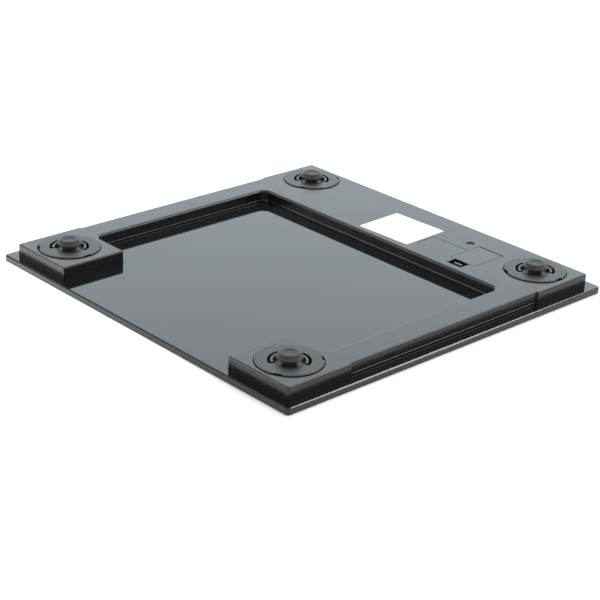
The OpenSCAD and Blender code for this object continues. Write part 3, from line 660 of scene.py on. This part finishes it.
def make_foot_disc(name, side_x, side_y, x, y, radius, material):
    """Sliding foot disc: skirt, deep well in a cup, two bracket-shaped slots and three rim notches."""
    lo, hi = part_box("foot_disc_" + name)
    top = hi.z
    rim = 0.55 * MM
    lip = 0.3 * MM
    cup_r, cup_z = WELL_R + CUP_WALL, top - WELL_DEPTH - CUP_FLOOR
    plate_z = top - DISC_T
    skirt_r, skirt_z = radius - SKIRT_T, lo.z + 0.1 * MM
    profile = [(BOSS_R, lo.z), (BOSS_R, cup_z), (cup_r, cup_z), (cup_r, plate_z),
               (skirt_r, plate_z), (skirt_r, skirt_z), (radius, skirt_z)]
    profile += [(radius - rim * (1 - math.cos(a)), top - rim * (1 - math.sin(a))) for a in quarter(5)]
    profile += [(WELL_R + lip * (1 - math.sin(a)), top - lip * (1 - math.cos(a))) for a in quarter(4)]
    profile += [(WELL_R, top - WELL_DEPTH)]
    obj = new_object("foot_disc_shell_" + name, lathe(x, y, profile, 128))
    for middle in ARC_MIDDLES:
        slot = flared(lambda grow: arc_outline(x, y, middle, grow), plate_z - 0.5 * MM, top, 0.22 * MM)
        combine(obj, slot, "DIFFERENCE")
        for end in (-1, 1):
            deg = middle + end * ARC_DEG / 2
            hook = flared(lambda grow: turned_rect(x, y, deg, WELL_R - CUT_PAST, ARC_R, ARC_W, grow),
                          top - HOOK_DEPTH, top, 0.2 * MM)
            combine(obj, hook, "DIFFERENCE")
    for k in (0, 120, 240):
        deg = notch_turn(side_x, side_y) + k
        notch = flared(
            lambda grow: turned_rect(x, y, deg, radius - NOTCH_DEPTH, radius + CUT_PAST, NOTCH_W, grow),
            top - NOTCH_FLOOR, top, 0.12 * MM)
        combine(obj, notch, "DIFFERENCE")
    return dress(obj, "foot_" + name, "disc_plastic", material, "foot_disc_" + name)


def make_rubber_foot(name, x, y, disc_top, material):
    """Rubber foot: a neck in the well, under a cap that tapers to a soft rim and a shallow dish."""
    lo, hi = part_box("rubber_foot_" + name)
    cap_r = (hi.x - lo.x) / 2
    top_r = cap_r - CAP_TAPER
    dish_r = top_r - SOLE_W
    top = hi.z
    dish_z = top - DISH_DEPTH
    edge = 0.9 * MM
    low_edge = 0.35 * MM
    cap_z = disc_top + CAP_RISE
    profile = [(NECK_R, disc_top - WELL_DEPTH), (NECK_R, cap_z)]
    profile += [(cap_r - low_edge * (1 - math.sin(a)), cap_z + low_edge * (1 - math.cos(a)))
                for a in quarter(3)]
    profile += [(cap_r, cap_z + CAP_BAND), (top_r + 0.25 * MM, top - edge - 0.2 * MM)]
    profile += [(top_r - edge * (1 - math.cos(a)), top - edge * (1 - math.sin(a))) for a in quarter(5)]
    profile += [(dish_r + 0.3 * MM, top), (dish_r, top - 0.08 * MM), (dish_r - 0.6 * MM, top - 0.38 * MM),
                (dish_r - 1.2 * MM, dish_z), (0.8 * MM, dish_z)]
    obj = new_object("rubber_foot_pad_" + name, lathe(x, y, profile, 96))
    return dress(obj, "foot_" + name, "foot_rubber", material, "rubber_foot_" + name)


def make_feet(materials):
    """All four feet."""
    for name, side_x, side_y, x, y, radius in foot_places():
        make_foot_disc(name, side_x, side_y, x, y, radius, materials["disc"])
        make_rubber_foot(name, x, y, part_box("foot_disc_" + name)[1].z, materials["rubber"])


# ---------- battery door, latch, button ----------

def make_door(material):
    """Battery door: a thin plate that rolls into its hinge barrel, with pins and the latch's fixed arm."""
    turns = [math.pi / 2 - math.pi * 1.35 * i / 20 for i in range(21)]
    under = Z_TOP - DOOR_T
    profile = [(DOOR_Y0, under), (DOOR_Y0, Z_TOP)]
    profile += [(HINGE_Y + BARREL_R * math.cos(a), HINGE_Z + BARREL_R * math.sin(a)) for a in turns]
    profile += [(HINGE_Y - BARREL_R - 0.3 * MM, under)]
    plate = soften(extrude_x(DOOR_X0, DOOR_X1, profile), 0.22 * MM, 3)
    pin = rod(DOOR_X0 - PIN_LEN, DOOR_X1 + PIN_LEN, HINGE_Y, HINGE_Z, PIN_R)
    arm_half = (latch_hi.x - latch_lo.x) / 2
    arm_y = DOOR_Y0 + 1 * MM
    into_plate = under + 0.2 * MM
    hook_y = latch_lo.y + 0.7 * MM
    hook_z = latch_lo.z - 0.05 * MM
    arm = [(DOOR_Y0, into_plate), (arm_y, into_plate), (arm_y, door_lo.z),
           (hook_y, door_lo.z), (hook_y, hook_z), (DOOR_Y0, hook_z)]
    spring = soften(extrude_x(DOOR_X - arm_half, DOOR_X + arm_half, arm), 0.12 * MM, 2)
    obj = new_object("battery_cover", join(plate, pin, spring))
    return dress(obj, "battery_door", "housing_abs", material, "battery_door")


def make_button(material):
    """Unit button: a dished cap on a flange."""
    top = button_hi.z
    flange_r = (button_hi.x - button_lo.x) / 2
    edge = 0.3 * MM
    flange_t = 0.7 * MM
    profile = [(flange_r, button_lo.z), (flange_r, button_lo.z + flange_t),
               (BUTTON_R, button_lo.z + flange_t + 0.05 * MM)]
    profile += [(BUTTON_R - edge * (1 - math.cos(a)), top - edge * (1 - math.sin(a))) for a in quarter(4)]
    dish = ((0.7, 0.03), (0.45, 0.14), (0.15, 0.2))
    profile += [(BUTTON_R * share, top - sink * MM) for share, sink in dish]
    obj = new_object("unit_button_cap", lathe(BUTTON_X, BUTTON_Y, profile, 48))
    return dress(obj, "unit_button", "button_plastic", material, "unit_button")


# ---------- CAD nodes that stay ----------

def paint_nodes(materials):
    """Gives every CAD node that still shows its own finish."""
    finishes = {
        "back_print": "print", "bond_tape": "tape", "rating_label": "label", "door_latch": "latch",
        "battery_tray": "tray", "coin_cell": "steel", "contact_negative": "brass",
        "contact_positive": "brass", "switch_plunger": "button", "switch_body": "switch",
        "display_panel": "display", "display_holder": "white", "connector_strip": "connector",
        "main_board": "board", "controller_blob": "epoxy", "board_parts": "part",
        "board_screws": "screw", "battery_wires": "wire_signal",
    }
    for corner in CORNERS:
        finishes["cell_seat_" + corner] = "white"
        finishes["load_cell_" + corner] = "spring"
        finishes["strain_gauge_" + corner] = "gauge"
        finishes["wires_" + corner] = "wire_signal"
    for name, key in finishes.items():
        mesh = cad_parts[name].data
        mesh.materials.clear()
        mesh.materials.append(materials[key])


# ---------- studio ----------

def glow_towards(material, direction, low, high, start, end):
    """Painted light: makes a material glow, from low at start metres along the direction to high at end
    metres.
    """
    tree = material.node_tree
    place = add_node(tree, "ShaderNodeTexCoord")
    along = add_node(tree, "ShaderNodeVectorMath", operation="DOT_PRODUCT")
    along.inputs[1].default_value = direction
    tree.links.new(place.outputs["Object"], along.inputs[0])
    shader = tree.nodes["Principled BSDF"]
    shader.inputs["Emission Color"].default_value = (1, 1, 1, 1)
    strength = ramp(tree, along.outputs["Value"], low, high, start, end)
    tree.links.new(strength, shader.inputs["Emission Strength"])


def make_floor():
    """Pale floor with painted light: it glows more and more towards the near left, standing in for lamp light
    pooling there.
    """
    half = 8.0
    gap = 0.1 * MM
    bm = bmesh.new()
    plan = ((-half, -half), (half, -half), (half, half), (-half, half))
    bm.faces.new([bm.verts.new((x, y, 0)) for x, y in plan])
    floor = new_object("studio_floor", bm)
    floor.location.z = cad_box[0].z - gap
    white = finish("studio_white", (0.84, 0.84, 0.84), (0.86, 0.86, 0.86), (0.7, 0.8),
                   patch=3, grain=200, bump=0.02, height=0.05)
    near_left = (-0.5, -0.87, 0)
    # painted light: emission rising towards the near left stands in for a pool of lamp light on the floor
    glow_towards(white, near_left, low=0.25, high=1.9, start=0.08, end=0.25)
    floor.data.materials.append(white)


def soft_light(name, direction, distance, size, radiance, colour=(1, 1, 1)):
    """Square soft box that faces the origin; its power follows from its size and radiance."""
    light = bpy.data.lights.new(name, "AREA")
    light.shape = "RECTANGLE"
    light.size, light.size_y = size
    light.energy = radiance * math.pi * size[0] * size[1]
    light.color = colour
    obj = bpy.data.objects.new(name, light)
    way = Vector(direction).normalized()
    obj.location = way * distance
    obj.rotation_mode = "QUATERNION"
    obj.rotation_quaternion = way.to_track_quat("Z", "Y")
    obj.visible_camera = False
    bpy.context.scene.collection.objects.link(obj)


def make_studio():
    """White surroundings, a bright sweep beyond the object and two soft boxes."""
    world = bpy.data.worlds.new("studio")
    world.use_nodes = True
    background = world.node_tree.nodes["Background"]
    background.inputs["Color"].default_value = (0.95, 0.99, 1.02, 1)
    background.inputs["Strength"].default_value = 1.0
    bpy.context.scene.world = world
    soft_light("sweep", (-0.657, 0.633, 0.42), 3.0, (4.0, 2.4), 1.0, (0.86, 1.0, 1.09))
    soft_light("key_right", (0.41, 0.63, 0.66), 2.0, (0.7, 0.7), 8.0)
    soft_light("strip_left", (-0.657, -0.70, 0.22), 2.0, (0.8, 0.3), 6.0)


def make_camera():
    """Camera at the photographed angle: turn, height, roll and distance about a point on the platform."""
    azimuth, elevation, roll = (math.radians(a) for a in (46.117, 24.027, 2.667))
    distance = 1.146286
    target = Vector((0.029335, -0.028154, 0.000135))
    back = Vector((math.sin(azimuth) * math.cos(elevation),
                   -math.cos(azimuth) * math.cos(elevation),
                   math.sin(elevation)))
    right = (-back).cross(Vector((0, 0, 1))).normalized()
    up = right.cross(-back)
    turned_right = right * math.cos(roll) + up * math.sin(roll)
    turned_up = up * math.cos(roll) - right * math.sin(roll)
    camera = bpy.data.cameras.new("camera")
    camera.lens = 99.9
    camera.sensor_width = 36
    obj = bpy.data.objects.new("camera", camera)
    turn = Matrix((turned_right, turned_up, back)).transposed().to_4x4()
    obj.matrix_world = Matrix.Translation(target + back * distance) @ turn
    bpy.context.scene.collection.objects.link(obj)
    bpy.context.scene.camera = obj


make_camera()
make_studio()
make_floor()
materials = make_materials()
make_glass(materials["glass"])
make_housing(materials["housing"])
make_feet(materials)
make_door(materials["door"])
make_button(materials["button"])
paint_nodes(materials)
bpy.context.scene.view_settings.view_transform = "Standard"
